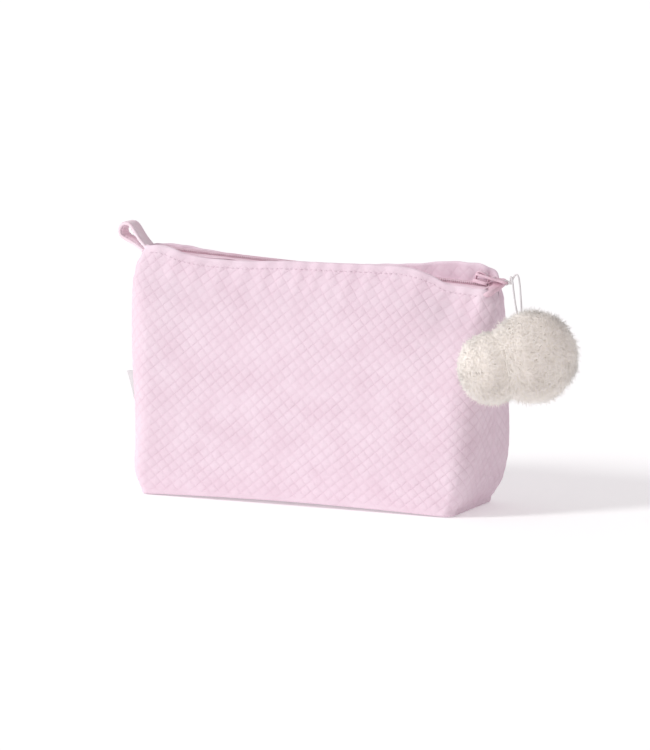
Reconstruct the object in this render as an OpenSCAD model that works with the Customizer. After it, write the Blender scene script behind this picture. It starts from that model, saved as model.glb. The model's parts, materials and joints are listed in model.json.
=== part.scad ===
// Zipped makeup bag with a boxed base, a carry loop and a pompom on the zip pull.
// +X runs to the closed end of the zip, -Y is the front, +Z is up, and z = 0 is the floor.

/* [Bag] */
// Half length of the base, corner to corner
base_half_length = 105; // [100:1:108]
// Half depth of the base, front to back
base_half_depth = 34; // [32:1:36]
// Thickness of the quilted outer fabric
panel_thick = 1.6; // [1.2:0.1:1.6]
// Thickness of the wadding behind it
wadding_thick = 2.3; // [1.5:0.1:2.4]
// Thickness of the lining
lining_thick = 0.5; // [0.4:0.1:0.5]

/* [Zip] */
// Height of the zip above the floor, at the middle of the bag
zip_height = 142; // [138:1:144]
// Fall of the zip towards its closed end, in degrees
zip_slope = 3; // [2:0.5:3]
// Width of each zip tape, measured past its coil
tape_w = 6.1; // [5:0.1:6.1]
// Thickness of the zip tape
tape_thick = 0.7; // [0.5:0.1:0.8]
// Thickness of the nylon coil
coil_thick = 2; // [1.6:0.1:2]
// Width of one row of the coil
coil_w = 2.2; // [2:0.1:2.2]

/* [Pull] */
// Length of the pull tab from its pivot bar
tab_length = 19; // [17:0.5:19]
// Width of the pull tab at its window
tab_w = 6.4; // [6.4:0.1:7]
// Thickness of the pull tab
tab_thick = 1.4; // [1.2:0.1:1.4]

/* [Pompom] */
// Radius of the firm part of the pompom, without its loose hair
pom_radius = 21; // [19:0.5:21]
// Diameter of the elastic cord
cord_d = 1.2; // [1:0.1:1.4]

/* [Loop] */
// Width of the folded strip of the carry loop
loop_w = 9; // [8:0.5:10]
// Radius of the loop's eye
eye_radius = 3.2; // [3:0.1:3.4]
// Thickness of the folded strip round the eye
strip_thick = 2.1; // [1.8:0.1:2.4]

/* [Hidden] */

slit = 0.1;                      // gap between layers that lie on each other
layer_gap = 0.4;                 // gap behind the outer fabric, whose wall is shaped to another height
running_gap = 0.3;               // gap between the slider and what it runs on

// Half lengths of the wall at each share of its height, at the left and right ends
left_end = [[0, base_half_length], [0.06, 111], [0.15, 115], [0.5, 119],
    [0.8, 121], [0.88, 121], [0.94, 117.5], [1, 110]];
right_end = [[0, base_half_length], [0.06, 111], [0.15, 115], [0.5, 118.5],
    [0.85, 122], [0.94, 122], [1, 120.5]];
// Half depths of the wall at each share of its height
half_depth = [[0, base_half_depth], [0.1, 36], [0.35, 35.5], [0.6, 30], [0.8, 21.5],
    [0.92, 14], [1, 11]];
// Height of the folded top edges above the zip, along the bag
front_rise = [[-110, 3], [-60, 1.5], [0, 4], [60, 3], [100, 1.5], [114, -1], [121, -2]];
back_rise = [[-110, 4], [-40, 4], [30, 4], [80, 9], [104, 10], [114, 3], [121, -2]];
corner_round = 16;
wall_rows = [0, 0.03, 0.06, 0.1, 0.15, 0.25, 0.35, 0.48, 0.6, 0.7, 0.8, 0.86, 0.92, 0.96, 1];
corner_steps = 4;
front_steps = 12;
layer_top = -3;                  // top of the wadding and lining, from the zip
layer_shares = [0.012, 0.975];   // shares of the outer wall's height that the layers run between
outer_shares = [0, 1];

tape_left = -103.5;
tape_right = 115;
coil_gap = 0.9;                  // from the centre line to each row of the coil
coil_edge = coil_gap + coil_w;

slider_at = 108.15;              // the closed slider, along the zip
slider_pitch = 8;                // the slider's nose points down by this much
slider_length = 10;
slider_w = 8.4;
plate_thick = 0.8;
channel_half = 2;                // half height of the space that the coil runs through
bridge_w = 2.4;
bridge_length = 9;
bridge_beam = 1;
pivot_x = -2.6;
pivot_z = 5.9;
bar_r = 0.7;
bridge_top = 7.8;
tab_pitch = 3;                   // the resting tab points down by this much more
tab_end_w = 4.6;
window_length = 8.6;
window_w = 3.2;
hitch_at = 18.2;                 // centre of the cord's hitch, along the tab
hitch_hole_at = 16.85;
hitch_hole_r = 0.9;
hitch_r = 1.35;
hitch_thick = 0.35;
knot = [126.9, 0, 138.4];
knot_r = 1.1;

pom_centre = [154, -51, 102];
pom_skin = 3.6;
pom_neck_r = 3.5;
// Route of the elastic cord from its knot to the neck of the pompom
cord_route = [[127.6, -1.6, 139.4], [128.2, -3.2, 140.6], [129, -5.5, 141.8], [130.2, -8, 142.8],
    [131.6, -11, 143.4], [133.2, -14, 143.4], [135, -17.5, 142.6], [137, -21.5, 141],
    [139.2, -26, 138.4], [141.6, -30.5, 135.2], [144, -35, 132], [146.6, -39.5, 129],
    [149.2, -44, 126.4], [151.6, -47.8, 124.2], [153.2, -50, 122.2], [154, -51, 120]];

loop_pivot = [-118.5, 0, 151.5];
loop_tilt = 40;
eye_at = 9;
root_r = 1.6;

label_at = [-120.2, 0, 54];
label_size = [7, 1.2, 17];

function zip_z(x) = zip_height - tan(zip_slope) * x;
function lerp(a, b, f) = a + (b - a) * f;

// Plan of one half of the wall at share t of its height, set in by d, from left to right
function half_plan(t, d) =
    let (
        al = lookup(t, left_end) - d,
        ar = lookup(t, right_end) - d,
        b = lookup(t, half_depth) - d,
        r = max(min(corner_round - d, b - 1.5), 0.8)
    )
    concat(
        [[-al, 0], [-al, -(b - r) / 2]],
        [for (i = [0:corner_steps]) let (q = 90 * i / corner_steps)
            [-al + r - r * cos(q), -(b - r) - r * sin(q)]],
        [for (i = [1:front_steps - 1]) [lerp(-al + r, ar - r, i / front_steps), -b]],
        [for (i = [0:corner_steps]) let (q = 90 - 90 * i / corner_steps)
            [ar - r + r * cos(q), -(b - r) - r * sin(q)]],
        [[ar, -(b - r) / 2], [ar, 0]]
    );

// rise is a table of heights above the zip, or one height
function wall_surface(d, low, rise, shares) =
    [for (t = wall_rows) for (p = half_plan(lerp(shares[0], shares[1], t), d))
        [p[0], p[1], lerp(low, zip_z(p[0]) + (is_list(rise) ? lookup(p[0], rise) : rise), t)]];

// Half of the bag's wall between two depths, open at its ends, its foot and its top
module half_wall(d1, d2, low, rise, shares = outer_shares) {
    across = len(half_plan(0, 0));
    up = len(wall_rows);
    size = across * up;
    outer = wall_surface(d1, low, rise, shares);
    inner = wall_surface(d2, low, rise, shares);
    sheet = [for (j = [0:up - 2]) for (i = [0:across - 2]) let (p = j * across + i)
        each [[p, p + across, p + across + 1], [p, p + across + 1, p + 1]]];
    lining_side = [for (f = sheet) [f[2] + size, f[1] + size, f[0] + size]];
    foot = [for (i = [0:across - 2])
        each [[i, i + 1, i + 1 + size], [i, i + 1 + size, i + size]]];
    brim = [for (i = [size - across:size - 2])
        each [[i + 1, i, i + size], [i + 1, i + size, i + 1 + size]]];
    left = [for (j = [0:up - 2]) let (p = j * across)
        each [[p + across, p, p + size], [p + across, p + size, p + across + size]]];
    right = [for (j = [0:up - 2]) let (p = j * across + across - 1)
        each [[p, p + across, p + across + size], [p, p + across + size, p + size]]];
    polyhedron(concat(outer, inner), concat(sheet, lining_side, foot, brim, left, right));
}

module base_sheet(inset, low, thick) {
    a = base_half_length - inset;
    b = base_half_depth - inset;
    r = corner_round - inset;
    translate([0, 0, low]) linear_extrude(thick) union() {
        square([2 * (a - r), 2 * b], center = true);
        square([2 * a, 2 * (b - r)], center = true);
        for (sx = [-1, 1]) for (sy = [-1, 1]) translate([sx * (a - r), sy * (b - r)]) circle(r, $fn = 48);
    }
}

wadding_in = panel_thick + layer_gap;
lining_in = wadding_in + wadding_thick + slit;
layers = lining_in + lining_thick;

module front_panel() color("#ecd2e0") half_wall(0, panel_thick, 0, front_rise);
module back_panel() color("#e6c9d9") mirror([0, 1, 0]) half_wall(0, panel_thick, 0, back_rise);
module base_panel() color("#dfc0d0") base_sheet(wadding_in, 0, panel_thick);

module inner_wall(d1, d2) half_wall(d1, d2, wadding_in, layer_top, layer_shares);
module front_wadding() color("white") inner_wall(wadding_in, wadding_in + wadding_thick);
module back_wadding() color("white") mirror([0, 1, 0]) inner_wall(wadding_in, wadding_in + wadding_thick);
module base_wadding() color("white") base_sheet(layers + layer_gap, wadding_in, wadding_thick);
module front_lining() color("#f3dfe6") inner_wall(lining_in, layers);
module back_lining() color("#f3dfe6") mirror([0, 1, 0]) inner_wall(lining_in, layers);
module base_lining() color("#f3dfe6") base_sheet(layers + layer_gap, lining_in, lining_thick);

// Places its children along the zip, x from the middle of the bag and z from the zip's centre
module on_zip() translate([0, 0, zip_height]) rotate([0, zip_slope, 0]) children();

module tape(side) on_zip() translate([tape_left, side > 0 ? coil_edge : -coil_edge - tape_w, -tape_thick / 2])
    cube([tape_right - tape_left, tape_w, tape_thick]);
module coil(side) on_zip() translate([tape_left, side > 0 ? coil_gap : -coil_edge, -coil_thick / 2])
    cube([tape_right - tape_left, coil_w, coil_thick]);
module front_tape() color("#e8c6d6") tape(-1);
module back_tape() color("#e8c6d6") tape(1);
module front_coil() color("#efcfdc") coil(-1);
module back_coil() color("#efcfdc") coil(1);

module left_end_tab() color("#eac4d4") on_zip() translate([tape_left - slit - 2.8, -7.5, -1.4]) cube([2.8, 15, 2.6]);
module right_end_tab() color("#e8b9cd") on_zip() translate([tape_right + slit, -6, -1.6]) cube([2.4, 12, 2.8]);

module on_slider() on_zip() translate([slider_at, 0, 0]) rotate([0, slider_pitch, 0]) children();

module slider_plate(z) translate([-slider_length / 2, -slider_w / 2, z]) cube([slider_length, slider_w, plate_thick]);

module slider_body() color("#e4c2d0") on_slider() {
    flange_w = slider_w / 2 - coil_edge - running_gap;
    slot_half = tape_thick / 2 + running_gap + 0.4;
    slider_plate(channel_half);
    slider_plate(-channel_half - plate_thick);
    // Side flanges that hold the coil in, open where the tape leaves
    for (side = [-1, 1]) for (z = [slot_half, -channel_half - slit])
        translate([-slider_length / 2, side > 0 ? slider_w / 2 - flange_w : -slider_w / 2, z])
            cube([slider_length, flange_w, channel_half - slot_half + slit]);
    // Neck that joins the plates between the two rows of the coil
    translate([slider_length / 2 - 2.5, -0.6, -channel_half - slit]) cube([2.5, 1.2, 2 * channel_half + 2 * slit]);
    // Bridge that the pull tab hangs on
    difference() {
        translate([-bridge_length / 2, -bridge_w / 2, channel_half]) cube([bridge_length, bridge_w, bridge_top - channel_half]);
        translate([-bridge_length / 2 + bridge_beam, -bridge_w, channel_half + plate_thick])
            cube([bridge_length - 2 * bridge_beam, 2 * bridge_w, bridge_top - channel_half - plate_thick - bridge_beam]);
    }
}

module on_tab() on_slider() translate([pivot_x, 0, pivot_z]) rotate([0, tab_pitch, 0]) children();

module pull_tab() color("#e4c2d0") on_tab() difference() {
    union() {
        rotate([90, 0, 0]) cylinder(h = tab_w, r = bar_r, center = true, $fn = 32);
        translate([0, 0, -tab_thick / 2]) linear_extrude(tab_thick) difference() {
            polygon([[0, -tab_w / 2], [window_length + 1.5, -tab_w / 2], [tab_length, -tab_end_w / 2],
                [tab_length, tab_end_w / 2], [window_length + 1.5, tab_w / 2], [0, tab_w / 2]]);
            translate([bar_r, -window_w / 2]) square([window_length - bar_r, window_w]);
            translate([-1, -window_w / 2]) square([2, window_w]);
        }
    }
    // Shallow panel on the face, and the hole for the cord
    translate([window_length + 1.2, -1.5, tab_thick / 2 - 0.3]) cube([5, 3, 1]);
    translate([hitch_hole_at, 0, -tab_thick]) cylinder(h = 2 * tab_thick, r = hitch_hole_r, $fn = 32);
}

module cord_hitch() color("white") {
    on_tab() translate([hitch_at, 0, 0]) rotate([90, 0, 0]) rotate_extrude($fn = 48)
        translate([hitch_r, 0]) circle(hitch_thick, $fn = 16);
    translate(knot) sphere(knot_r, $fn = 32);
}

function unit(v) = v / norm(v);
function cord_way(i) = unit(cord_route[min(i + 1, len(cord_route) - 1)] - cord_route[max(i - 1, 0)]);
cord_sides = 8;

module pom_cord() color("white") {
    rings = [for (i = [0:len(cord_route) - 1]) let (
            w = cord_way(i),
            u = unit(cross(w, [1, 0, 0])),
            v = cross(w, u)
        ) for (k = [0:cord_sides - 1]) let (q = 360 * k / cord_sides)
            cord_route[i] + cord_d / 2 * (cos(q) * u + sin(q) * v)];
    last = len(rings) - cord_sides;
    skin = [for (i = [0:len(cord_route) - 2]) for (k = [0:cord_sides - 1])
        let (a = i * cord_sides + k, b = i * cord_sides + (k + 1) % cord_sides)
        each [[a, b, b + cord_sides], [a, b + cord_sides, a + cord_sides]]];
    ends = [[for (k = [0:cord_sides - 1]) cord_sides - 1 - k], [for (k = [0:cord_sides - 1]) last + k]];
    polyhedron(rings, concat(skin, ends));
}

module pom_fur() color("#ebe0da") translate(pom_centre) rotate_extrude($fn = 48) difference() {
    circle(pom_radius, $fn = 48);
    circle(pom_radius - pom_skin, $fn = 48);
    translate([-2 * pom_radius, -2 * pom_radius]) square([2 * pom_radius, 4 * pom_radius]);
    square([pom_neck_r, 2 * pom_radius]);
}
module pom_stuffing() color("white") translate(pom_centre) sphere(pom_radius - pom_skin - slit, $fn = 48);

module carry_loop() color("#f3cbd9") translate(loop_pivot) rotate([0, loop_tilt, 0]) mirror([1, 0, 0])
    rotate([90, 0, 0]) linear_extrude(loop_w, center = true) difference() {
        eye_out = eye_radius + strip_thick;
        tangent = asin((eye_out - root_r) / eye_at);
        union() {
            circle(root_r, $fn = 32);
            translate([eye_at, 0]) circle(eye_out, $fn = 64);
            polygon([[-root_r * sin(tangent), -root_r * cos(tangent)],
                [eye_at - eye_out * sin(tangent), -eye_out * cos(tangent)],
                [eye_at - eye_out * sin(tangent), eye_out * cos(tangent)],
                [-root_r * sin(tangent), root_r * cos(tangent)]]);
        }
        translate([eye_at, 0]) circle(eye_radius, $fn = 64);
    }

module side_label() color("white") translate([label_at[0] - label_size[0], -label_size[1] / 2, label_at[2]]) cube(label_size);

front_panel();
back_panel();
base_panel();
front_wadding();
back_wadding();
base_wadding();
front_lining();
back_lining();
base_lining();
front_tape();
back_tape();
front_coil();
back_coil();
left_end_tab();
right_end_tab();
slider_body();
pull_tab();
cord_hitch();
pom_cord();
pom_fur();
pom_stuffing();
carry_loop();
side_label();
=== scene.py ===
# %% [markdown]
# # A quilted makeup bag with a fur pompom
# This lesson builds the looks of a small zipped bag around a fixed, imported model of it. The model
# brings the true sizes and the moving bodies. Each step below first says what a piece is on the real
# bag and how it could be made, and then makes it. Lengths are in metres, +X runs to the closed end of
# the zip, -Y is the front and the floor is at z = 0.

# %% The frame
import json
import math

import bpy
import numpy as np
from mathutils import Matrix, Vector


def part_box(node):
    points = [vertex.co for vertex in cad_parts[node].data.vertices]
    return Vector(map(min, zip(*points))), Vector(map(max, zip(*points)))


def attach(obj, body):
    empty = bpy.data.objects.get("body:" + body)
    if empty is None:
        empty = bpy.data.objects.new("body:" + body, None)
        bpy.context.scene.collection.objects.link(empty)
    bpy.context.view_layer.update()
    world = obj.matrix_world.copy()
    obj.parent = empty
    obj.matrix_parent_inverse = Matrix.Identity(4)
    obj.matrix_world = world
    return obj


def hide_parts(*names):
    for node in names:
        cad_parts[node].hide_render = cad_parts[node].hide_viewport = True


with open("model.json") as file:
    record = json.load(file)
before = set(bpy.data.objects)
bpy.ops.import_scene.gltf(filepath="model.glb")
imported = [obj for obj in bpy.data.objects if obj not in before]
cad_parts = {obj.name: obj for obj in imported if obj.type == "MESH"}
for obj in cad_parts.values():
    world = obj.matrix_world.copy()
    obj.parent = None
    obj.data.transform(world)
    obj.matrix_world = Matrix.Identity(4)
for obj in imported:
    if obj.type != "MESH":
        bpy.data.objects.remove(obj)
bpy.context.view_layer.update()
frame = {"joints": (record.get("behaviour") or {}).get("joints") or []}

# %% [markdown]
# ## Camera
# A bag this size is usually shot with a long lens from a few metres away, a little from the right and a
# little from above. The lens is worked out from how wide the view should be at the bag, so the framing
# follows from one number.

# %% Camera
AZIMUTH, ELEVATION = math.radians(24.5), math.radians(8.5)
CAMERA_DISTANCE = 3.0
VIEW_WIDTH = 0.39275      # metres across the view, at the bag
SENSOR_WIDTH = 36
AIM = Vector((0.006, 0, 0.0756))
toward = Vector((math.sin(AZIMUTH) * math.cos(ELEVATION), -math.cos(AZIMUTH) * math.cos(ELEVATION),
                 math.sin(ELEVATION)))
camera = bpy.data.objects.new("camera", bpy.data.cameras.new("camera"))
bpy.context.scene.collection.objects.link(camera)
camera.location = AIM + CAMERA_DISTANCE * toward
camera.rotation_euler = toward.to_track_quat("Z", "Y").to_euler()
camera.data.sensor_fit = "HORIZONTAL"
camera.data.sensor_width = SENSOR_WIDTH
camera.data.lens = SENSOR_WIDTH * CAMERA_DISTANCE / VIEW_WIDTH
bpy.context.scene.camera = camera
print(f"lens {camera.data.lens:.0f} mm")

# %% [markdown]
# ## Helpers for meshes
# Most pieces here are grids of points that follow a formula: a wall, a tape, a strip, a cord. One
# helper turns a grid of points into a mesh, another sweeps a cross-section along a path, and a third
# draws a smooth curve through a few given values. A last one hangs each piece on the body it rides.

# %% Mesh helpers
MM = 0.001


def new_mesh(name, points, faces, material):
    mesh = bpy.data.meshes.new(name)
    faces = faces.tolist() if isinstance(faces, np.ndarray) else faces
    mesh.from_pydata(np.asarray(points, float).tolist(), [], faces)
    mesh.polygons.foreach_set("use_smooth", [True] * len(mesh.polygons))
    mesh.materials.append(material)
    mesh.update()
    piece = bpy.data.objects.new(name, mesh)
    bpy.context.scene.collection.objects.link(piece)
    return piece


def grid_faces(rows, columns, wrap=False):
    i = np.arange(rows - 1)[:, None] * columns
    j = np.arange(columns if wrap else columns - 1)[None, :]
    k = (j + 1) % columns
    return np.stack([i + j, i + k, i + columns + k, i + columns + j], -1).reshape(-1, 4)


def grid_piece(name, grid, material, wrap=False, flip=False):
    faces = grid_faces(*grid.shape[:2], wrap)
    return new_mesh(name, grid.reshape(-1, 3), faces[:, ::-1] if flip else faces, material)


def applied(piece, kind, **values):
    """The piece with a modifier applied to its mesh."""
    modifier = piece.modifiers.new(kind.lower(), kind)
    for key, value in values.items():
        setattr(modifier, key, value)
    with bpy.context.temp_override(object=piece, active_object=piece):
        bpy.ops.object.modifier_apply(modifier=modifier.name)
    return piece


def hand_over(piece, body, node=None):
    """Hangs a piece on the body it rides and hides the model's part that it stands for."""
    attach(piece, body)
    if node:
        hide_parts(node)


def smooth_table(table):
    """A smooth curve through a few pairs, as a function of the first number of each pair."""
    x, y = np.array(table, float).T
    slope = np.gradient(y, x)

    def curve(at):
        at = np.clip(at, x[0], x[-1])
        k = np.clip(np.searchsorted(x, at, side="right") - 1, 0, len(x) - 2)
        h = x[k + 1] - x[k]
        f = (at - x[k]) / h
        return ((1 + 2 * f) * (1 - f) ** 2 * y[k] + f * (1 - f) ** 2 * h * slope[k]
                + f * f * (3 - 2 * f) * y[k + 1] + f * f * (f - 1) * h * slope[k + 1])
    return curve


def unit(vectors):
    return vectors / np.linalg.norm(vectors, axis=-1, keepdims=True)


def direction(tilt, turn):
    """Unit vectors at angles from the vertical and round it."""
    return np.stack([np.cos(turn) * np.sin(tilt), np.sin(turn) * np.sin(tilt), np.cos(tilt)], -1)


def full_turn(steps):
    return np.linspace(0, 2 * np.pi, steps, endpoint=False)


def way_along(line):
    """How far along a line of points each one lies."""
    return np.concatenate([[0], np.cumsum(np.linalg.norm(np.diff(line, axis=0), axis=1))])


def sampled(line, way, at):
    """Points of a line at some distances along it."""
    return np.stack([np.interp(at, way, values) for values in line.T], 1)


def smoothstep(low, high, value):
    f = np.clip((value - low) / (high - low), 0, 1)
    return f * f * (3 - 2 * f)


def hill(value, centre, width):
    return np.exp(-((value - centre) / width) ** 2)


def sweep(path, section, width_way=(0, 1, 0)):
    """Points and faces of a closed section, as (across, along width_way) pairs, swept along a path."""
    path, section = np.asarray(path, float), np.asarray(section, float)
    way, wide = unit(np.gradient(path, axis=0)), np.asarray(width_way, float)
    side = unit(wide - way * (way @ wide)[:, None])
    out = np.cross(way, side)
    points = path[:, None] + section[None, :, :1] * out[:, None] + section[None, :, 1:] * side[:, None]
    count = len(section)
    faces = grid_faces(len(path), count, wrap=True).tolist()
    caps = [list(range(count))[::-1], [(len(path) - 1) * count + k for k in range(count)]]
    return points.reshape(-1, 3), faces + caps


def round_section(across, along, power=2.0, steps=12):
    """A closed oval, or with a higher power a rounded rectangle."""
    c, s = np.cos(full_turn(steps)), np.sin(full_turn(steps))
    return np.stack([across * np.sign(c) * np.abs(c) ** (2 / power),
                     along * np.sign(s) * np.abs(s) ** (2 / power)], 1)


def merge_parts(parts):
    """Several (points, faces) pairs as one pair."""
    points, faces, first = [], [], 0
    for p, f in parts:
        points.append(np.asarray(p, float))
        faces += [[k + first for k in face] for face in (f.tolist() if isinstance(f, np.ndarray) else f)]
        first += len(p)
    return np.concatenate(points), faces


print("mesh helpers ready")

# %% [markdown]
# ## Shared shader effects
# Nearly every finish here is cloth, so the effects that cloths share are shader node groups: a soft
# unevenness of colour, a fine weave that gives a height and a little painted shade between its threads,
# and the crossing creases of the quilt, finer than a mesh can hold. A group puts out only colours and
# heights. The shader stays in each material, with its plain numbers on its own sockets.

# %% Node helpers
def make_group(name, inputs, outputs):
    tree = bpy.data.node_groups.new(name, "ShaderNodeTree")
    for title, kind, value in inputs:
        tree.interface.new_socket(title, in_out="INPUT", socket_type=kind).default_value = value
    for title, kind in outputs:
        tree.interface.new_socket(title, in_out="OUTPUT", socket_type=kind)
    return tree, tree.nodes.new("NodeGroupInput"), tree.nodes.new("NodeGroupOutput")


def add(tree, kind, sockets=(), **settings):
    """A node with its settings. Each socket takes a number, a colour or another node's output."""
    node = tree.nodes.new(kind)
    for key, value in settings.items():
        setattr(node, key, value)
    for key, value in dict(sockets).items():
        if isinstance(value, bpy.types.NodeSocket):
            tree.links.new(value, node.inputs[key])
        else:
            node.inputs[key].default_value = value
    return node


def dial(node, values):
    """Sets the plain numbers and colours on a node's own sockets."""
    for key, value in values.items():
        node.inputs[key].default_value = value


def calc(tree, operation, a, b=0.0):
    return add(tree, "ShaderNodeMath", {0: a, 1: b}, operation=operation).outputs[0]


def times(tree, a, b):
    return calc(tree, "MULTIPLY", a, b)


def plus(tree, a, b):
    return calc(tree, "ADD", a, b)


def noise(tree, scale, detail, place=None):
    """Cloudy noise, with so many features to the metre when it is given the object's own place."""
    sockets = {"Scale": scale, "Detail": detail}
    if place:
        sockets["Vector"] = place
    return add(tree, "ShaderNodeTexNoise", sockets).outputs[0]


def ramp(tree, value, low, high, start=0.0, end=1.0, **settings):
    """A value stretched from one range to another."""
    sockets = {0: value, 1: low, 2: high, 3: start, 4: end}
    return add(tree, "ShaderNodeMapRange", sockets, **settings).outputs[0]


def place_on(tree):
    return add(tree, "ShaderNodeTexCoord").outputs["Object"]


FACTOR, COLOUR_A, COLOUR_B, COLOUR_OUT = 0, 6, 7, 2     # sockets of a colour Mix node


def mix(tree, factor, a, b):
    return add(tree, "ShaderNodeMix", {FACTOR: factor, COLOUR_A: a, COLOUR_B: b},
               data_type="RGBA").outputs[COLOUR_OUT]


def rgb(red, green, blue):
    """A screen colour, 0 to 255, as the linear colour that shaders use."""
    return tuple((c / 255 / 12.92 if c < 11 else ((c / 255 + 0.055) / 1.055) ** 2.4)
                 for c in (red, green, blue)) + (1.0,)


# %% Uneven colour
uneven, given, out = make_group(
    "uneven_colour",
    [("Light", "NodeSocketColor", (1, 1, 1, 1)), ("Dark", "NodeSocketColor", (0.5, 0.5, 0.5, 1)),
     ("Patches Per Metre", "NodeSocketFloat", 60.0)], [("Color", "NodeSocketColor")])
patches = noise(uneven, given.outputs["Patches Per Metre"], 3.0, place_on(uneven))
spread = ramp(uneven, patches, 0.35, 0.65)
uneven.links.new(mix(uneven, spread, given.outputs["Dark"], given.outputs["Light"]), out.inputs["Color"])

# %% Fine weave
weave, given, out = make_group(
    "fine_weave",
    [("Threads Per Metre", "NodeSocketFloat", 2000.0), ("Colour", "NodeSocketColor", (1, 1, 1, 1)),
     ("Shadow", "NodeSocketColor", (0.5, 0.5, 0.5, 1)), ("Contrast", "NodeSocketFloat", 0.3)],
    [("Color", "NodeSocketColor"), ("Height", "NodeSocketFloat")])
place = place_on(weave)
axes = add(weave, "ShaderNodeSeparateXYZ", {0: place}).outputs
turn = times(weave, given.outputs["Threads Per Metre"], math.pi)


def thread(position):
    return calc(weave, "ABSOLUTE", calc(weave, "SINE", times(weave, position, turn)))


across = thread(plus(weave, axes[0], axes[1]))
upward = thread(calc(weave, "SUBTRACT", axes[2], times(weave, axes[1], 0.5)))
fuzz = noise(weave, given.outputs["Threads Per Metre"], 2.0, place)
height = plus(weave, times(weave, across, upward), times(weave, fuzz, 0.6))
# Low parts of the weave are mixed toward the Shadow colour: painted shade between the threads
dark = times(weave, calc(weave, "SUBTRACT", 1.1, height), given.outputs["Contrast"])
shade = add(weave, "ShaderNodeClamp", {0: dark}).outputs[0]
weave.links.new(mix(weave, shade, given.outputs["Colour"], given.outputs["Shadow"]), out.inputs["Color"])
weave.links.new(height, out.inputs["Height"])

# %% Quilt creases
CELL = 5.3 * MM
RISING, FALLING = math.radians(40), math.radians(47)     # how steeply the two sets of creases run
creases, given, out = make_group(
    "quilt_creases", [("Along", "NodeSocketFloat", 0.0), ("Up", "NodeSocketFloat", 0.0)],
    [("Crease", "NodeSocketFloat")])


def crease_line(slant_along, slant_up, width):
    """1 in the middle of a crease and 0 beside it, for one set of creases."""
    along = times(creases, given.outputs["Along"], slant_along * math.pi / CELL)
    up = times(creases, given.outputs["Up"], slant_up * math.pi / CELL)
    wave = calc(creases, "ABSOLUTE", calc(creases, "SINE", plus(creases, along, up)))
    return ramp(creases, wave, 0.0, width, 1.0, 0.0, interpolation_type="SMOOTHSTEP")


rising = crease_line(-math.sin(RISING), math.cos(RISING), 0.22)
falling = times(creases, crease_line(math.sin(FALLING), math.cos(FALLING), 0.26), 0.7)
wear = ramp(creases, noise(creases, 70.0, 3.0, place_on(creases)), 0.36, 0.64, 0.25, 1.0)
crease = times(creases, calc(creases, "MAXIMUM", rising, falling), wear)
creases.links.new(crease, out.inputs["Crease"])
print("shader groups:", ", ".join(g.name for g in bpy.data.node_groups))

# %% [markdown]
# ## Cloth, enamel, fur and elastic
# One function makes every cloth from two colours, a thread count and a bump depth. The quilted knit also
# reads what its mesh carries: where a point lies on the flat cloth, how hollow it is, and where the
# layers are pressed flat, which fades the creases. Hollows and creases are darker, because light is lost
# there. Fur and elastic are pale and rough, and the slider is a glossy paint on metal.

# %% Cloth materials
def new_material(name, roughness, sheen=0.0, sheen_tint=(1, 1, 1, 1)):
    material = bpy.data.materials.new(name)
    material.use_nodes = True
    shader = material.node_tree.nodes["Principled BSDF"]
    dial(shader, {"Roughness": roughness, "Sheen Weight": sheen, "Sheen Roughness": 0.5,
                  "Sheen Tint": sheen_tint, "Specular IOR Level": 0.3})
    return material, material.node_tree, shader


def drifting(tree, light, dark, patches=60.0):
    """A colour that wanders softly between two, with so many patches to the metre."""
    return add(tree, "ShaderNodeGroup", {"Light": light, "Dark": dark, "Patches Per Metre": patches},
               node_tree=uneven).outputs["Color"]


def cloth(name, light, dark, threads, depth, contrast=0.3, sheen=0.25, valley=None):
    material, tree, shader = new_material(name, 0.88, sheen, (1.0, 0.93, 0.96, 1))
    threads_node = add(tree, "ShaderNodeGroup", {
        "Threads Per Metre": threads, "Contrast": contrast, "Shadow": dark,
        "Colour": drifting(tree, light, dark)}, node_tree=weave)
    colour = threads_node.outputs["Color"]
    if valley:
        hollow, along, up, pressed = (add(tree, "ShaderNodeAttribute", attribute_name=field).outputs["Fac"]
                                      for field in ("valley", "along_cloth", "up_cloth", "pressed"))
        lines = add(tree, "ShaderNodeGroup", {"Along": along, "Up": up}, node_tree=creases)
        fine = times(tree, lines.outputs["Crease"], pressed)
        # Painted shade: the hollows of the pillows and the fine creases are mixed toward the valley colour,
        # as light is lost there
        lost = plus(tree, times(tree, hollow, 0.08), times(tree, fine, 0.11))
        colour = mix(tree, lost, colour, valley)
        groove = add(tree, "ShaderNodeBump", {"Height": calc(tree, "SUBTRACT", 1.0, fine), "Strength": 0.4,
                                              "Distance": 0.0005}).outputs[0]
    tree.links.new(colour, shader.inputs["Base Color"])
    bump = add(tree, "ShaderNodeBump", {"Height": threads_node.outputs["Height"], "Strength": 0.5,
                                        "Distance": depth})
    if valley:
        tree.links.new(groove, bump.inputs["Normal"])
    tree.links.new(bump.outputs[0], shader.inputs["Normal"])
    return material


# The valley colour is the painted shade of the quilt's hollows and creases
quilted_knit = cloth("quilted_knit", rgb(237, 217, 228), rgb(231, 208, 220), 1100, 0.0001, 0.15, 0.15,
                     valley=rgb(200, 146, 172))
plain_cloth = cloth("plain_cloth", rgb(240, 209, 221), rgb(228, 192, 206), 2200, 0.00006, 0.2)
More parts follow.
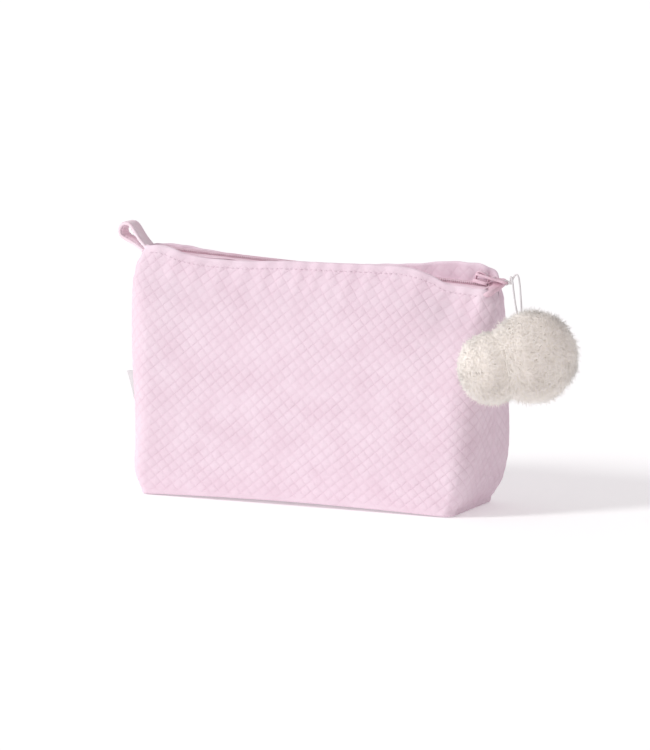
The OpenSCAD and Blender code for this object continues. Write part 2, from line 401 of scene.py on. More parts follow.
# A lighter copy of the plain cloth for the carry loop: painted light, which lifts the loop where it sits in
# shade
loop_cloth_painted_light = cloth("loop_cloth_painted_light", rgb(253, 238, 245), rgb(247, 224, 233), 2200, 0.00006, 0.2)
tape_cloth = cloth("tape_cloth", rgb(241, 215, 226), rgb(230, 197, 211), 1500, 0.0001, 0.4, 0.1)
lining_cloth = cloth("lining_cloth", rgb(240, 214, 224), rgb(230, 198, 210), 2600, 0.00005)
wadding_fluff = cloth("wadding_fluff", rgb(246, 244, 244), rgb(232, 230, 230), 900, 0.0003)
label_satin = cloth("label_satin", rgb(222, 220, 221), rgb(206, 203, 205), 3200, 0.00004, 0.15, 0.1)
sewing_thread = cloth("sewing_thread", rgb(234, 214, 225), rgb(226, 202, 214), 5000, 0.00004)
elastic_white = cloth("elastic_white", rgb(232, 230, 230), rgb(206, 202, 203), 3500, 0.00008)

# %% Nylon, enamel and fur
nylon, tree, shader = new_material("coil_nylon", 0.42)
tree.links.new(drifting(tree, rgb(248, 224, 233), rgb(236, 204, 216), 400), shader.inputs["Base Color"])

enamel, tree, shader = new_material("pink_enamel", 0.28)
tree.links.new(drifting(tree, rgb(233, 201, 214), rgb(222, 187, 201), 300), shader.inputs["Base Color"])
dial(shader, {"Coat Weight": 0.35, "Coat Roughness": 0.15, "Specular IOR Level": 0.5})
ripple = add(tree, "ShaderNodeBump", {"Height": noise(tree, 900.0, 2.0), "Strength": 0.25,
                                      "Distance": 0.03 * MM})
tree.links.new(ripple.outputs[0], shader.inputs["Normal"])


def fur_material(name, root, tip):
    """Hair that is darker at its root: the mesh carries how far along each hair a point is."""
    material, tree, shader = new_material(name, 0.8, 0.3, (1, 0.97, 0.95, 1))
    along = add(tree, "ShaderNodeAttribute", attribute_name="along").outputs["Fac"]
    colour = mix(tree, along, root, drifting(tree, tip, tuple(0.9 * c for c in tip[:3]) + (1,), 150))
    tree.links.new(colour, shader.inputs["Base Color"])
    # Light wanders from hair to hair in pale fur, so it is never black between them: a weak even glow
    # stands in for that
    tree.links.new(colour, shader.inputs["Emission Color"])
    dial(shader, {"Emission Strength": 0.22})
    return material


fur_hair = fur_material("fur_hair", rgb(240, 226, 218), rgb(253, 248, 241))
print(len(bpy.data.materials), "materials")

# %% [markdown]
# ## The shape of the bag
# The wall of the bag is one surface that runs round the front from side seam to side seam. At each
# share of its height it is a rounded rectangle, whose half length, half depth and corner rounding come
# from a few values read off smooth curves. Measuring along the cloth, and not along X, keeps the quilt
# the same size round the corners.

# %% Profile of the wall
ZIP_SLOPE = math.radians(3)
ZIP_HEIGHT = 142 * MM
left_end = smooth_table([(0, 104), (0.07, 107.5), (0.2, 108.5), (0.36, 111), (0.5, 114), (0.8, 119.3),
                         (0.88, 120.5), (0.94, 118.5), (1, 112.5)])
right_end = smooth_table([(0, 104), (0.06, 109), (0.15, 113), (0.5, 118), (0.85, 121.5), (0.94, 121.5),
                          (1, 119.5)])
half_depth = smooth_table([(0, 34), (0.1, 36), (0.35, 35.5), (0.6, 30), (0.8, 21.5), (0.92, 14), (1, 11)])
corner_round = smooth_table([(0, 7), (0.1, 10), (0.3, 16), (0.8, 15), (1, 9)])
# How far the folded edges stand above the zip, in mm along the bag
FRONT_RISE = smooth_table([(-112, 0.5), (-97, 2), (-82, -1.4), (-45, -1.9), (-14, 1.2), (17, 3.2), (45, 5),
                           (66, 5.4), (80, 2.4), (89, -1.1), (100, -1.8), (121, -2.6)])
BACK_RISE = smooth_table([(-112, 0.5), (-95, 0.8), (-76, -0.8), (-20, -1.2), (7, -0.6), (35, 2.2), (63, 5.4),
                          (82, 9), (95, 10), (109, 8.8), (118, 3), (121, -2.6)])
HEM_ROUND = 1.3 * MM
FOOT_ROUND = 1.4 * MM
SIDES = ((-1, "front"), (1, "back"))     # which way each wall faces, and its name


def zip_z(x):
    """Height of the zip above the floor at x."""
    return ZIP_HEIGHT - math.tan(ZIP_SLOPE) * x


def foot_z(x):
    """The underside arches a little off the floor between its ends."""
    return 0.5 * MM + 1.9 * MM * np.clip(1 - (x / 0.1) ** 2, 0, 1)


def plan(share, inset, along):
    """The front half of the wall's plan, as points at shares of its length from the left seam."""
    al, ar = left_end(share) * MM - inset, right_end(share) * MM - inset
    b = half_depth(share) * MM - inset
    r = max(min(corner_round(share) * MM - inset, b - 1.5 * MM), 0.8 * MM)
    q = np.linspace(0, np.pi / 2, 20)
    left = np.stack([-al + r - r * np.cos(q), -(b - r) - r * np.sin(q)], 1)
    right = np.stack([ar - r + r * np.cos(q[::-1]), -(b - r) - r * np.sin(q[::-1])], 1)
    line = np.concatenate([[(-al, 0)], left, right, [(ar, 0)]])
    way = way_along(line)
    return sampled(line, way, along * way[-1]), way[-1]


def wall_grid(columns, rows, rise, inset=0.0, top=None):
    """The wall as a grid of points, with each one's length along the cloth from the middle."""
    along = np.linspace(0, 1, columns)
    points, length = np.zeros((rows, columns, 3)), np.zeros((rows, columns))
    for k, share in enumerate(np.linspace(0, 1, rows)):
        line, total = plan(share, inset, along)
        x = line[:, 0]
        brim = zip_z(x) + (rise(x / MM) * MM if top is None else top)
        foot = foot_z(x) + FOOT_ROUND + inset
        points[k] = np.column_stack([x, line[:, 1], foot + share * (brim - foot)])
        length[k] = (along - 0.5) * total
    return points, length


_, cloth_length = wall_grid(60, 40, FRONT_RISE)
print(f"the front is {np.ptp(cloth_length[10]) / MM:.0f} mm of cloth from seam to seam")

# %% [markdown]
# ## The quilted knit
# The outer fabric is a knit with wadding behind it, embossed all over with small pillows that lie on the
# bias, like a basket weave. The relief is real geometry here. Two sets of creases cross: the rising ones
# are long and narrow, the falling ones are shorter and softer, and every other pillow is lower. The
# relief fades at the hem and at the seams, where the layers are pressed flat. The mesh keeps each
# point's place on the flat cloth and how hollow it is there, for the material.

# %% Quilt relief
PILLOW = 0.28 * MM


def pillows(length, height):
    """Height of the embossed pillows, from 0 in a crease to 1 on a pillow's crown."""
    p = (height * math.cos(RISING) - length * math.sin(RISING)) / CELL
    q = (height * math.cos(FALLING) + length * math.sin(FALLING)) / CELL
    long_crease, short_crease = np.abs(np.sin(np.pi * p)), np.abs(np.sin(np.pi * q))
    odd = (np.floor(p) + np.floor(q)) % 2
    shoulder = np.minimum(1.3 * long_crease ** 0.8, 1) * (0.35 + 0.65 * np.minimum(1.5 * short_crease, 1))
    dome = long_crease * short_crease
    return (0.62 * shoulder + 0.38 * dome) * np.where(odd > 0, 0.88, 1.0)


def soft_noise(x, y, size, seed):
    """A smooth bump field from a few waves in seeded directions."""
    waves = np.random.default_rng(seed)
    total = np.zeros_like(x)
    for _ in range(7):
        turn, stretch = waves.uniform(0, 2 * np.pi), waves.uniform(0.6, 1.6)
        phase = waves.uniform(0, 2 * np.pi)
        total += np.sin((x * np.cos(turn) + y * np.sin(turn)) * 2 * np.pi / size * stretch + phase)
    return total / 4


def normals_of(grid):
    across, upward = np.gradient(grid, axis=1), np.gradient(grid, axis=0)
    out = np.cross(across, upward)
    return out / np.maximum(np.linalg.norm(out, axis=2), 1e-12)[..., None]


# %% One outer panel
def panel_grid(rise, seed, columns=400, rows=196):
    """An outer panel's points, what its mesh carries for the material, and the way out at each point."""
    grid, length = wall_grid(columns, rows, rise)
    share = np.linspace(0, 1, rows)[:, None] * np.ones(columns)
    out = normals_of(grid)
    height = grid[..., 2]
    edge = (1 - np.abs(np.linspace(-1, 1, columns)))[None, :] * np.ptp(length, axis=1)[:, None] / 2
    x = grid[..., 0]
    # Cloth is never flat: slow swells over the wall, a slack band under the zip, dents by the corners
    swell = 0.7 * MM * soft_noise(length, height, 0.11, seed)
    slack = -1.6 * MM * hill(share, 0.9, 0.07) * (0.5 + 0.5 * soft_noise(x, 0 * x, 0.07, seed + 1))
    dents = (-2.2 * MM * hill(x, 0.098, 0.014) * hill(share, 0.93, 0.06)
             - 1.5 * MM * hill(x, -0.1, 0.012) * hill(share, 0.9, 0.07)
             - 1.2 * MM * hill(x, 0.104, 0.010) * hill(share, 0.03, 0.05))
    # Small tucks that run down from the hem, and puckers beside the side seams
    tucks = 0.35 * MM * np.sin(2 * np.pi * length / 0.013 + 2 * np.sin(length / 0.02))
    tucks *= smoothstep(0.8, 1, share)
    pucker = 0.3 * MM * np.sin(2 * np.pi * height / 0.009) * hill(edge, 0.004, 0.004)
    seam = -1.1 * MM * hill(edge, 0, 0.0012)
    box_seam = -0.9 * MM * hill(height, 0.0035, 0.0012) * smoothstep(0.100, 0.106, np.abs(x)) * 0.6
    fade = smoothstep(0, 0.004, edge) * smoothstep(1.0, 0.972, share) * smoothstep(0, 0.02, share)
    relief = pillows(length, height)
    move = swell * smoothstep(0, 0.1, share) + slack + dents + tucks + pucker + box_seam
    move = (move + PILLOW * (relief - 0.5) * (0.25 + 0.75 * fade)) * smoothstep(0, 0.005, edge) + seam
    lay = {"valley": (1 - relief) * (0.2 + 0.8 * fade), "along_cloth": length, "up_cloth": height,
           "pressed": fade}
    return grid + out * move[..., None], lay, out


def with_hem_and_foot(grid, lay):
    """Adds the roll of the hem, which turns in and down to the zip tape, and the turn under the foot."""
    columns = grid.shape[1]
    inward = np.stack([np.zeros(columns), np.ones(columns), np.zeros(columns)], 1)
    inward[:, 0] = -np.sign(grid[-1, :, 0]) * smoothstep(0.104, 0.118, np.abs(grid[-1, :, 0]))
    inward[:, 1] *= np.sqrt(1 - inward[:, 0] ** 2 * 0.98)
    inward /= np.linalg.norm(inward, axis=1)[:, None]
    up = np.array([0, 0, 1.0])
    roll = [grid[-1] + HEM_ROUND * ((1 - math.cos(q)) * inward + math.sin(q) * up)
            for q in np.linspace(0.2, np.pi, 9)]
    # The turned-in part is the same quilt, pressed flatter, from the roll down to the tape
    brim, length = roll[-1], lay["along_cloth"][-1]
    tape = brim.copy()
    tape[:, 2] = zip_z(tape[:, 0]) - 0.6 * MM
    depths = np.linspace(0, 1, 16)[1:]
    pressed = smoothstep(0, 0.2, depths) * smoothstep(1, 0.8, depths)
    turned_up = [brim[:, 2] + f * (brim[:, 2] - tape[:, 2]) for f in depths]
    hollow = [(1 - pillows(length, z)) * p for z, p in zip(turned_up, pressed)]
    turned = [brim + f * (tape - brim) + (0.3 * MM * f - 0.5 * PILLOW * h[:, None]) * inward
              for f, h in zip(depths, hollow)]
    foot = [grid[0] + FOOT_ROUND * ((1 - math.cos(q)) * inward - math.sin(q) * up)
            for q in np.linspace(np.pi / 2, 0.25, 5)]
    foot = [foot[0] + 1.5 * MM * inward] + foot
    blank = np.zeros(columns)
    below, above = len(foot), len(roll)
    flat_part = [blank + p for p in pressed]
    return np.concatenate([foot, grid, roll, turned]), {
        "valley": [blank] * below + list(lay["valley"]) + [blank] * above + hollow,
        "along_cloth": [length] * below + list(lay["along_cloth"]) + [length] * (above + len(turned)),
        "up_cloth": [blank] * below + list(lay["up_cloth"]) + [brim[:, 2]] * above + turned_up,
        "pressed": [blank] * below + list(lay["pressed"]) + [blank] * above + flat_part}


def store(piece, fields):
    """Keeps named numbers at each point of a mesh, for its material to read."""
    for name, values in fields.items():
        field = piece.data.attributes.new(name, "FLOAT", "POINT")
        field.data.foreach_set("value", np.asarray(values, np.float32).ravel())


def outer_panel(name, side, rise, seed, node):
    grid, lay, _ = panel_grid(rise, seed)
    grid, lay = with_hem_and_foot(grid, lay)
    if side > 0:
        grid[..., 1] *= -1
    piece = grid_piece(name, grid, quilted_knit, flip=side > 0)
    store(piece, lay)
    hand_over(piece, "bag", node)
    return piece


front = outer_panel("front_quilt", -1, FRONT_RISE, 11, "front_panel")
outer_panel("back_quilt", 1, BACK_RISE, 23, "back_panel")
print(f"{len(front.data.polygons)} faces on each side")

# %% [markdown]
# ## The base
# The boxed base is the same quilt, pressed by the bag's weight, and it arches off the floor with the
# foot of the wall. It is a rounded rectangle of points, whose half depth at each x closes the corners.

# %% Base of the bag
def base_half_depth(x, inset):
    a, b = left_end(0) * MM - inset, half_depth(0) * MM - inset
    r = corner_round(0) * MM
    return b - r + np.sqrt(np.maximum(r * r - np.maximum(np.abs(x) - (a - r), 0) ** 2, 0))


def base_grid(inset, rows, columns):
    a = left_end(0) * MM - inset
    x = a * np.sin(np.linspace(-np.pi / 2, np.pi / 2, rows))[:, None] * np.ones(columns)
    return np.stack([x, base_half_depth(x, inset) * np.linspace(-1, 1, columns)[None, :], foot_z(x)], -1)


grid = base_grid(1.2 * MM, 220, 84)
relief = pillows(grid[..., 0], grid[..., 1])
grid[..., 2] += 0.45 * MM * (1 - relief)
base = grid_piece("base_quilt", grid, quilted_knit)
store(base, {"valley": 1 - relief, "along_cloth": grid[..., 0], "up_cloth": grid[..., 1],
             "pressed": np.ones_like(relief)})
applied(base, "SOLIDIFY", thickness=1.0 * MM, offset=-1)
hand_over(base, "bag", "base_panel")
print(f"{len(base.data.polygons)} faces in the base")

# %% [markdown]
# ## Wadding and lining
# Behind the quilt are a soft layer and a thin lining. They can't be seen while the zip is shut, so they
# are plain thin shells, set in from the wall.

# %% Inner layers
LAYER_TOP = -3.5 * MM      # where the layers end, below the zip
WADDING, LINING = (wadding_fluff, "wadding", 0.3), (lining_cloth, "lining", None)     # cloth, slot and fill


def inner_shell(name, grid, flip, thick, layer, node):
    material, slot, fill = layer
    piece = grid_piece(name, grid, material, flip=flip)
    applied(piece, "SOLIDIFY", thickness=thick, offset=-1)
    hand_over(piece, "bag", node)


def inner_wall(side, inset):
    grid, _ = wall_grid(90, 44, None, inset, top=LAYER_TOP)
    return grid * (1, -side, 1)


def inner_base(inset, height):
    return base_grid(inset, 60, 24) + np.array([0, 0, height])


for side, word in SIDES:
    inner_shell(word + "_filling", inner_wall(side, 4.2 * MM), side > 0, 1.2 * MM, WADDING, word + "_wadding")
    inner_shell(word + "_inside", inner_wall(side, 5.6 * MM), side > 0, 0.4 * MM, LINING, word + "_lining")
inner_shell("base_filling", inner_base(6.5 * MM, 4.2 * MM), True, 1.6 * MM, WADDING, "base_wadding")
inner_shell("base_inside", inner_base(6.5 * MM, 4.8 * MM), True, 0.4 * MM, LINING, "base_lining")
print("three layers of wadding and three of lining")

# %% [markdown]
# ## Topstitching
# A row of stitches runs along the front just under the hem, and another along the back. Each stitch is
# a small oval of thread that sinks into the cloth at its ends.

# %% Stitches
STITCH, STITCH_STEP = 2.5 * MM, 3.3 * MM
STITCHES_BELOW_HEM = 3.4 * MM


def stitch_parts(points, out, length=STITCH, thick=0.26 * MM):
    """Ovals of thread along a line of points, lying on the side that out points to."""
    way = way_along(points)
    parts = []
    ring = round_section(thick, thick, 2, 6)
    sunk = thick * np.array([-0.9, 0.3, 0.6, 0.3, -0.9])[:, None]
    for middle in np.arange(STITCH_STEP / 2, way[-1] - STITCH_STEP / 2, STITCH_STEP * length / STITCH):
        at = middle + np.linspace(-length / 2, length / 2, 5)
        lift = sampled(out, way, at)
        parts.append(sweep(sampled(points, way, at) + lift * sunk, ring, width_way=lift[2]))
    return parts


def topstitch(name, side, rise, seed):
    grid, _, out = panel_grid(rise, seed)
    rows, columns = grid.shape[:2]
    height = grid[-1, :, 2] - STITCHES_BELOW_HEM
    line, lift = np.zeros((columns, 3)), np.zeros((columns, 3))
    for c in range(columns):
        k = np.interp(height[c], grid[:, c, 2], np.arange(rows))
        low, f = int(k), k - int(k)
        line[c] = (1 - f) * grid[low, c] + f * grid[min(low + 1, rows - 1), c]
        lift[c] = out[low, c]
    keep = slice(int(columns * 0.06), int(columns * 0.94))
    line, lift = line[keep] * (1, -side, 1), lift[keep] * (1, -side, 1)
    stitches = stitch_parts(line, lift)
    hand_over(new_mesh(name, *merge_parts(stitches), sewing_thread), "bag")
    print(name, "has", len(stitches), "stitches")


topstitch("front_topstitch", -1, FRONT_RISE, 11)
topstitch("back_topstitch", 1, BACK_RISE, 23)

# %% [markdown]
# ## The zip
# The zip lies in one straight plane that falls a little towards its closed end. On each side a woven
# tape is sewn under the hem, and along its edge runs a coil of nylon. The two coils mesh like the teeth
# of two combs, so each is a flat helix and one is shifted by half a turn.

# %% Frame of the zip
ON_ZIP = Matrix.Translation((0, 0, ZIP_HEIGHT)) @ Matrix.Rotation(ZIP_SLOPE, 4, "Y")
TAPE_LEFT, TAPE_RIGHT = -0.1035, 0.115
COIL_PITCH = 1.3 * MM


def placed(points, matrix):
    turn, shift = np.array(matrix.to_3x3()), np.array(matrix.to_translation())
    return np.asarray(points, float) @ turn.T + shift


def zip_tape(name, side):
    x, y = np.meshgrid(np.linspace(TAPE_LEFT, TAPE_RIGHT, 220), np.linspace(0.5 * MM, 9.6 * MM, 14),
                       indexing="ij")
    ribs = 0.12 * MM * np.cos(2 * np.pi * y / (1.1 * MM))
    z = -0.75 * MM + ribs + 0.25 * MM * np.sin(x * 2 * np.pi / 0.03) * smoothstep(4 * MM, 9 * MM, y)
    grid = placed(np.stack([x, side * y, z], -1), ON_ZIP)
    tape = grid_piece(name, grid, tape_cloth, flip=side < 0)
    return applied(tape, "SOLIDIFY", thickness=0.55 * MM, offset=0)


def zip_coil(name, side):
    turns, steps = int((TAPE_RIGHT - TAPE_LEFT) / COIL_PITCH), 12
    q = np.arange(turns * steps + 1) / steps * 2 * np.pi
    x = TAPE_LEFT + COIL_PITCH * (q / (2 * np.pi) + (0.5 if side > 0 else 0))
    y = side * (1.35 * MM - 1.75 * MM * np.cos(q))
    z = 0.25 * MM + 0.65 * MM * np.sin(q)
    points, faces = sweep(np.stack([x, y, z], 1), round_section(0.28 * MM, 0.28 * MM, 2, 6),
                          width_way=(1, 0.05, 0))
    return new_mesh(name, placed(points, ON_ZIP), faces, nylon)


for side, word in SIDES:
    hand_over(zip_tape(word + "_zip_tape", side), "bag", word + "_tape")
    hand_over(zip_coil(word + "_zip_coil", side), "bag", word + "_coil")
print(f"{int((TAPE_RIGHT - TAPE_LEFT) / COIL_PITCH)} turns in each coil")

# %% Chain stitches along the coils
for side, word in SIDES:
    rows = []
    x = np.arange(TAPE_LEFT + 1 * MM, TAPE_RIGHT, 0.9 * MM)
    for y in (1.1 * MM, 2.4 * MM):
        beads = np.stack([x, np.full_like(x, side * y), 0.9 * MM + 0.14 * MM * (np.arange(len(x)) % 2)], 1)
        rows.append(sweep(placed(beads, ON_ZIP), round_section(0.17 * MM, 0.17 * MM, 2, 5)))
    hand_over(new_mesh(word + "_coil_thread", *merge_parts(rows), tape_cloth), "bag")
print("two rows of chain stitches on each coil")

# %% [markdown]
# ## End tabs
# A scrap of the plain fabric is folded over each end of the zip and sewn into the top corner. At the
# closed end it shows as a smooth soft band that runs across the bag under the pull tab.

# %% End tabs
def soft_band(name, x0, x1, half_width, z0, thick, node, climb=0.0, skew=0.0):
    """A folded band across the zip, with full round ends and a crease. It climbs and skews to the back."""
    middle, half = (x0 + x1) / 2, (x1 - x0) / 2
    y = half_width * np.sin(np.linspace(-np.pi / 2, np.pi / 2, 40))
    close = np.sqrt(np.maximum(1 - np.abs(y / half_width) ** 5, 0.0))
    ring = round_section(1, 1, 2.6, 28)
    crease = 1 - 0.16 * hill(ring[:, 0], -0.35, 0.2) * (ring[:, 1] > 0)
    rows = []
    for at, shut in zip(y, close):
        wave = 0.3 * MM * math.sin(at / (3.1 * MM))
        rows.append(np.stack([middle + half * shut * ring[:, 0] + wave + skew * at, np.full(len(ring), at),
                              z0 + thick / 2 * shut * ring[:, 1] * crease + climb * at], 1))
    piece = grid_piece(name, placed(np.array(rows), ON_ZIP), plain_cloth, wrap=True)
    hand_over(piece, "bag", node)


soft_band("left_end_band", -0.1085, -0.1015, 9.5 * MM, -0.3 * MM, 3.0 * MM, "left_end_tab")
soft_band("right_end_band", 0.1125, 0.1205, 11 * MM, -0.9 * MM, 4.2 * MM, "right_end_tab", 0.32, 0.12)
print("a band over each end of the zip")

# %% [markdown]
# ## The slider
# The slider is cast zinc under pink enamel. Two plates hold the coils between them, with rails down
# their sides, a neck between them at the nose and a bridge on top that the pull tab hangs on. Each part
# is an outline with rounded edges. The outlines are drawn as flat curves, which are filled, thickened
# and rounded.

# %% Rounded plates from outlines
def outline_plate(outlines, thick, round_edge, matrix):
    """Points and faces of a plate from closed outlines, the inner ones as holes, with rounded edges."""
    curve = bpy.data.curves.new("outline", "CURVE")
    curve.dimensions, curve.fill_mode = "2D", "BOTH"
    curve.extrude, curve.bevel_depth = thick / 2 - round_edge, round_edge
    curve.bevel_resolution, curve.offset = 2, -round_edge
    for line in outlines:
        spline = curve.splines.new("POLY")
        spline.points.add(len(line) - 1)
        spline.points.foreach_set("co", [c for x, y in line for c in (x, y, 0, 1)])
        spline.use_cyclic_u = True
    holder = bpy.data.objects.new("outline", curve)
    mesh = bpy.data.meshes.new_from_object(holder)
    points = np.zeros(len(mesh.vertices) * 3)
    mesh.vertices.foreach_get("co", points)
    faces = [list(p.vertices) for p in mesh.polygons]
    bpy.data.objects.remove(holder)
    bpy.data.meshes.remove(mesh)
    bpy.data.curves.remove(curve)
    return placed(points.reshape(-1, 3), matrix), faces


def rounded_box(x0, x1, y0, y1, corner, steps=5):
    """A rectangle with round corners, as a closed outline."""
    line = []
    for cx, cy, start in ((x1 - corner, y1 - corner, 0), (x0 + corner, y1 - corner, 90),
                          (x0 + corner, y0 + corner, 180), (x1 - corner, y0 + corner, 270)):
        for q in np.radians(np.linspace(start, start + 90, steps)):
            line.append((cx + corner * math.cos(q), cy + corner * math.sin(q)))
    return line


def mirrored(half):
    """A closed outline from its upper half, which runs from left to right."""
    return [(x, -y) for x, y in half] + half[::-1]


def in_mm(*pairs):
    return [(x * MM, y * MM) for x, y in pairs]


def shifted(matrix, x, z):
    return matrix @ Matrix.Translation((x, 0, z))


SLIDER_AT, SLIDER_PITCH, CHANNEL, PLATE = 0.10815, math.radians(8), 2.0 * MM, 0.8 * MM
ON_SLIDER = shifted(ON_ZIP, SLIDER_AT, 0) @ Matrix.Rotation(SLIDER_PITCH, 4, "Y")
UPRIGHT = Matrix.Rotation(math.pi / 2, 4, "X")      # stands a plate in the plane of X and Z
plate = mirrored(in_mm((-5, 2.4), (-4.2, 3.2), (-1, 3.5), (2, 4.1), (4.2, 4.2), (5.2, 3.4), (5.6, 1.6)))
slider_parts = [outline_plate([plate], PLATE, 0.25 * MM, shifted(ON_SLIDER, 0, z))
                for z in (CHANNEL + PLATE / 2, -CHANNEL - PLATE / 2)]
for side, _ in SIDES:
    rail = in_mm(*[(x, side * y) for x, y in (
        (-5, 3.3), (-4.4, 3.5), (2, 4.2), (4.8, 4.2), (4.9, 3.5), (2, 3.4), (-4.4, 2.9))])
    for z in (1.45 * MM, -1.45 * MM):
        slider_parts.append(outline_plate([rail], 1.3 * MM, 0.15 * MM, shifted(ON_SLIDER, 0, z)))
neck = rounded_box(2.6 * MM, 5.2 * MM, -0.6 * MM, 0.6 * MM, 0.3 * MM)
slider_parts.append(outline_plate([neck], 4.2 * MM, 0.1 * MM, ON_SLIDER))

# The bridge is an arch of even thickness, drawn in the plane of X and Z
arch = in_mm((-4.5, 2.4), (-4.5, 5.6), (-4.2, 6.8), (-3.3, 7.6), (-2.2, 7.8), (0.5, 7.5), (3.0, 6.4),
             (4.3, 4.8), (4.6, 2.4), (3.7, 2.4), (3.5, 4.3), (2.5, 5.6), (0.2, 6.55), (-2.2, 6.8),
             (-3.0, 6.6), (-3.5, 5.9), (-3.6, 2.4))
slider_parts.append(outline_plate([arch], 2.3 * MM, 0.3 * MM, ON_SLIDER @ UPRIGHT))
slider = new_mesh("slider_shell", *merge_parts(slider_parts), enamel)
applied(slider, "WELD", merge_threshold=0.01 * MM)
hand_over(slider, "slider", "slider_body")
print("slider:", len(slider.data.polygons), "faces")

# %% [markdown]
# ## The pull tab
# The tab hangs on the bridge by a round bar across a window, narrows a little, and ends in a hole for
# the cord. Its face has a shallow sunken panel, so it is built in two plates, and the upper one has the
# panel left out.

# %% Pull tab
TAB_PITCH = math.radians(3)
HITCH_AT = 18.2 * MM       # centre of the cord's hitch, along the tab
ON_TAB = shifted(ON_SLIDER, -2.6 * MM, 5.9 * MM) @ Matrix.Rotation(TAB_PITCH, 4, "Y")
tab_outline = mirrored(in_mm((-0.9, 2.2), (-0.6, 2.9), (0.1, 3.2), (9.0, 3.2), (10.6, 2.9), (12.0, 2.5),
                             (16.8, 2.3), (18.2, 2.15), (18.85, 1.5), (19, 0.6)))
window = rounded_box(0.75 * MM, 8.9 * MM, -1.65 * MM, 1.65 * MM, 0.7 * MM)[::-1]
panel = rounded_box(10.2 * MM, 15.2 * MM, -1.45 * MM, 1.45 * MM, 0.35 * MM)[::-1]
hole = in_mm(*[(16.85 + 0.85 * math.cos(q), -0.85 * math.sin(q)) for q in np.linspace(0, 2 * np.pi, 17)[:-1]])
bar = placed(np.array([[0, y * MM, 0] for y in (-2.6, -1.3, 0, 1.3, 2.6)]), ON_TAB)
tab = new_mesh("pull_tab_enamel", *merge_parts([
    outline_plate([tab_outline, window, hole], 1.05 * MM, 0.25 * MM, shifted(ON_TAB, 0, -0.2 * MM)),
    outline_plate([tab_outline, window, hole, panel], 0.6 * MM, 0.2 * MM, shifted(ON_TAB, 0, 0.42 * MM)),
    sweep(bar, round_section(0.68 * MM, 0.68 * MM, 2, 16), width_way=(1, 0, 0))]), enamel)
hand_over(tab, "pull", "pull_tab")
print("pull tab:", len(tab.data.polygons), "faces")

# %% [markdown]
# ## The carry loop
# A strip of plain fabric, folded lengthways and stitched down both edges, is doubled back on itself and
# sewn into the left end. Seen from the side it is a teardrop round an open eye. It is swept as a
# flattened oval along that teardrop, with a groove beside each edge and a row of stitches in it.

# %% Carry loop
loop_joint = next(j for j in frame["joints"] if j["name"] == "loop_flop")
LOOP_AT = Vector(loop_joint["pos_m"])
LOOP_TILT, EYE_AT, EYE_RADIUS = math.radians(40), 9 * MM, 3.2 * MM
STRIP, STRIP_WIDTH, EDGE_SEAM = 2.7 * MM, 12 * MM, 1.3 * MM
LOOP_STEPS, RING_STEPS = 120, 44


def loop_path():
    """The middle of the strip: out from the root, round the eye and back, in the loop's own plane."""
    r = EYE_RADIUS + STRIP / 2
    q = np.radians(np.linspace(-118, 118, 40))
    arc = np.stack([EYE_AT + r * np.cos(q), r * np.sin(q)], 1)
    go = np.array([(-7.5, -1.4), (-3.2, -1.45), (-1, -1.7), (1.2, -2.3), (3.0, -3.3)]) * MM
    back = go[::-1] * (1, -1)
    flat = np.concatenate([go, arc[2:-2], back])
    for _ in range(4):
        flat[1:-1] = (flat[:-2] + 2 * flat[1:-1] + flat[2:]) / 4
    way = way_along(flat)
    flat = sampled(flat, way, np.linspace(0, way[-1], LOOP_STEPS))
    c, s = math.cos(LOOP_TILT), math.sin(LOOP_TILT)
    x = LOOP_AT.x - flat[:, 0] * c - flat[:, 1] * s
    z = LOOP_AT.z + flat[:, 0] * s - flat[:, 1] * c
    return np.stack([x, np.full(len(x), LOOP_AT.y), z], 1)


path = loop_path()
ring = round_section(STRIP / 2, STRIP_WIDTH / 2, 3.2, RING_STEPS)
ring[:, 0] *= 1 - 0.28 * hill(np.abs(ring[:, 1]), STRIP_WIDTH / 2 - EDGE_SEAM, 0.35 * MM)
points, faces = sweep(path, ring)
points[:, 1] += np.repeat(0.35 * MM * np.sin(np.linspace(0, 5, LOOP_STEPS)), RING_STEPS)
# The strip wears the lighter copy of the plain cloth, which carries painted light
loop = new_mesh("loop_strip", points, faces, loop_cloth_painted_light)
outward = np.cross(unit(np.gradient(path, axis=0)), (0, 1.0, 0))
loop_threads = []
for edge in (-1, 1):
    for face in (-1, 1):
        line = path + np.array([0, edge * (STRIP_WIDTH / 2 - EDGE_SEAM), 0]) + face * outward * STRIP * 0.36
        loop_threads += stitch_parts(line[4:-4], face * outward[4:-4], 1.7 * MM, 0.24 * MM)
hand_over(loop, "loop", "carry_loop")
hand_over(new_mesh("loop_stitches", *merge_parts(loop_threads), sewing_thread), "loop")
print(f"the loop's strip is {way_along(path)[-1] / MM:.0f} mm long")

# %% [markdown]
# ## The side label
# A small satin label, folded double and left blank, is caught in the left side seam. It is a thin sheet
# bent round its fold and a little curled.

# %% Side label
LABEL_REACH = 1.2 * MM       # how far the fold stands past the model's label
LABEL_ROOT = 7.3 * MM        # how much longer it is at its root, which is sewn into the seam
low, high = (np.array(c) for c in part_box("side_label"))
fold = np.linspace(-1, 1, 41)
out_x = low[0] - LABEL_REACH + (high[0] - low[0] + LABEL_REACH + LABEL_ROOT) * np.abs(fold) ** 1.6
lay_y = 0.75 * MM * np.sign(fold) * (1 - (1 - np.abs(fold)) ** 3)
z = np.linspace(low[2], high[2], 26)
curl = 0.9 * MM * np.sin((z - low[2]) / 0.006)[:, None] * (1 - np.abs(fold))[None, :]
grid = np.stack([out_x[None, :] + 0 * curl, lay_y[None, :] + curl * 0.6,
                 z[:, None] - 1.0 * MM * (1 - np.abs(fold))[None, :]], -1)
grid[..., 0] += 0.3 * (high[2] - grid[..., 2]) * (1 - np.abs(fold))     # the folded edge leans in below
label = grid_piece("satin_label", grid, label_satin)
